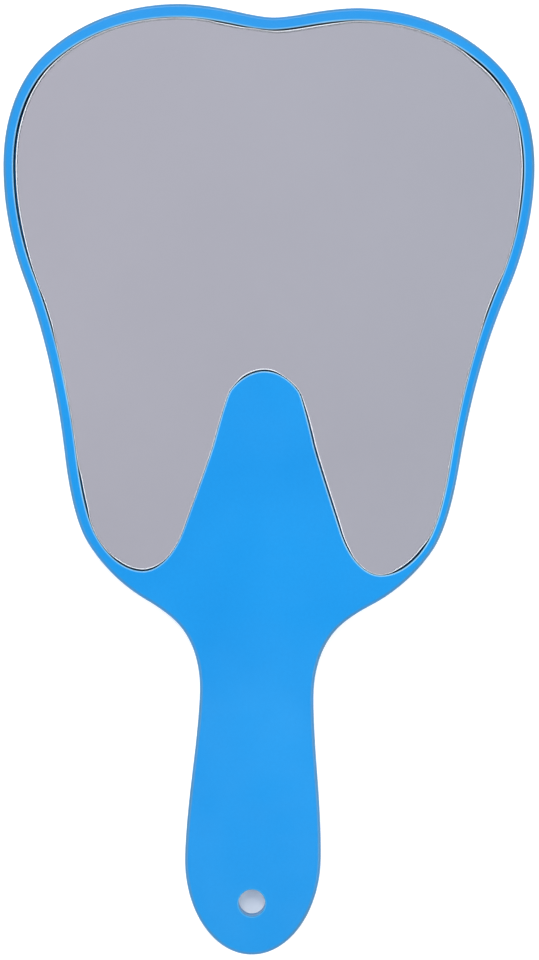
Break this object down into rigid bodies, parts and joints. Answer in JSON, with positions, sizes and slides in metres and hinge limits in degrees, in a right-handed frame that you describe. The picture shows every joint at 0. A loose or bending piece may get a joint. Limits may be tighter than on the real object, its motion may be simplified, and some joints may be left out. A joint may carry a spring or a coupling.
{
  "type": "tooth-shaped dental hand mirror",
  "caption": "Flat hand mirror for dental patients: a tooth-shaped mirror sheet let into a blue plastic frame with a grip and a hanging hole.",
  "frame": {"origin": "on the resting plane of the flat back, under the middle of the overall length and width", "axes": "+Z out of the mirror's face, +Y from the handle towards the crown of the tooth, +X across the head to the right when looking at the face with the crown up"},
  "size_m": [0.14, 0.25, 0.0054],
  "materials": {
    "blue_plastic": "glossy moulded plastic",
    "clear_sheet": "polished clear sheet",
    "mirror_coating": "mirror coating behind the clear sheet",
    "grey_paint": "matt protective paint",
    "foam_tape": "double-sided foam tape"
  },
  "bodies": {
    "root": {"front_frame": "blue_plastic", "back_shell": "blue_plastic", "mirror_sheet": "clear_sheet", "reflective_coating": "mirror_coating", "backing_paint": "grey_paint", "tape_crown_left": "foam_tape", "tape_crown_right": "foam_tape", "tape_middle": "foam_tape", "tape_root_left": "foam_tape", "tape_root_right": "foam_tape"}
  },
  "joints": []
}
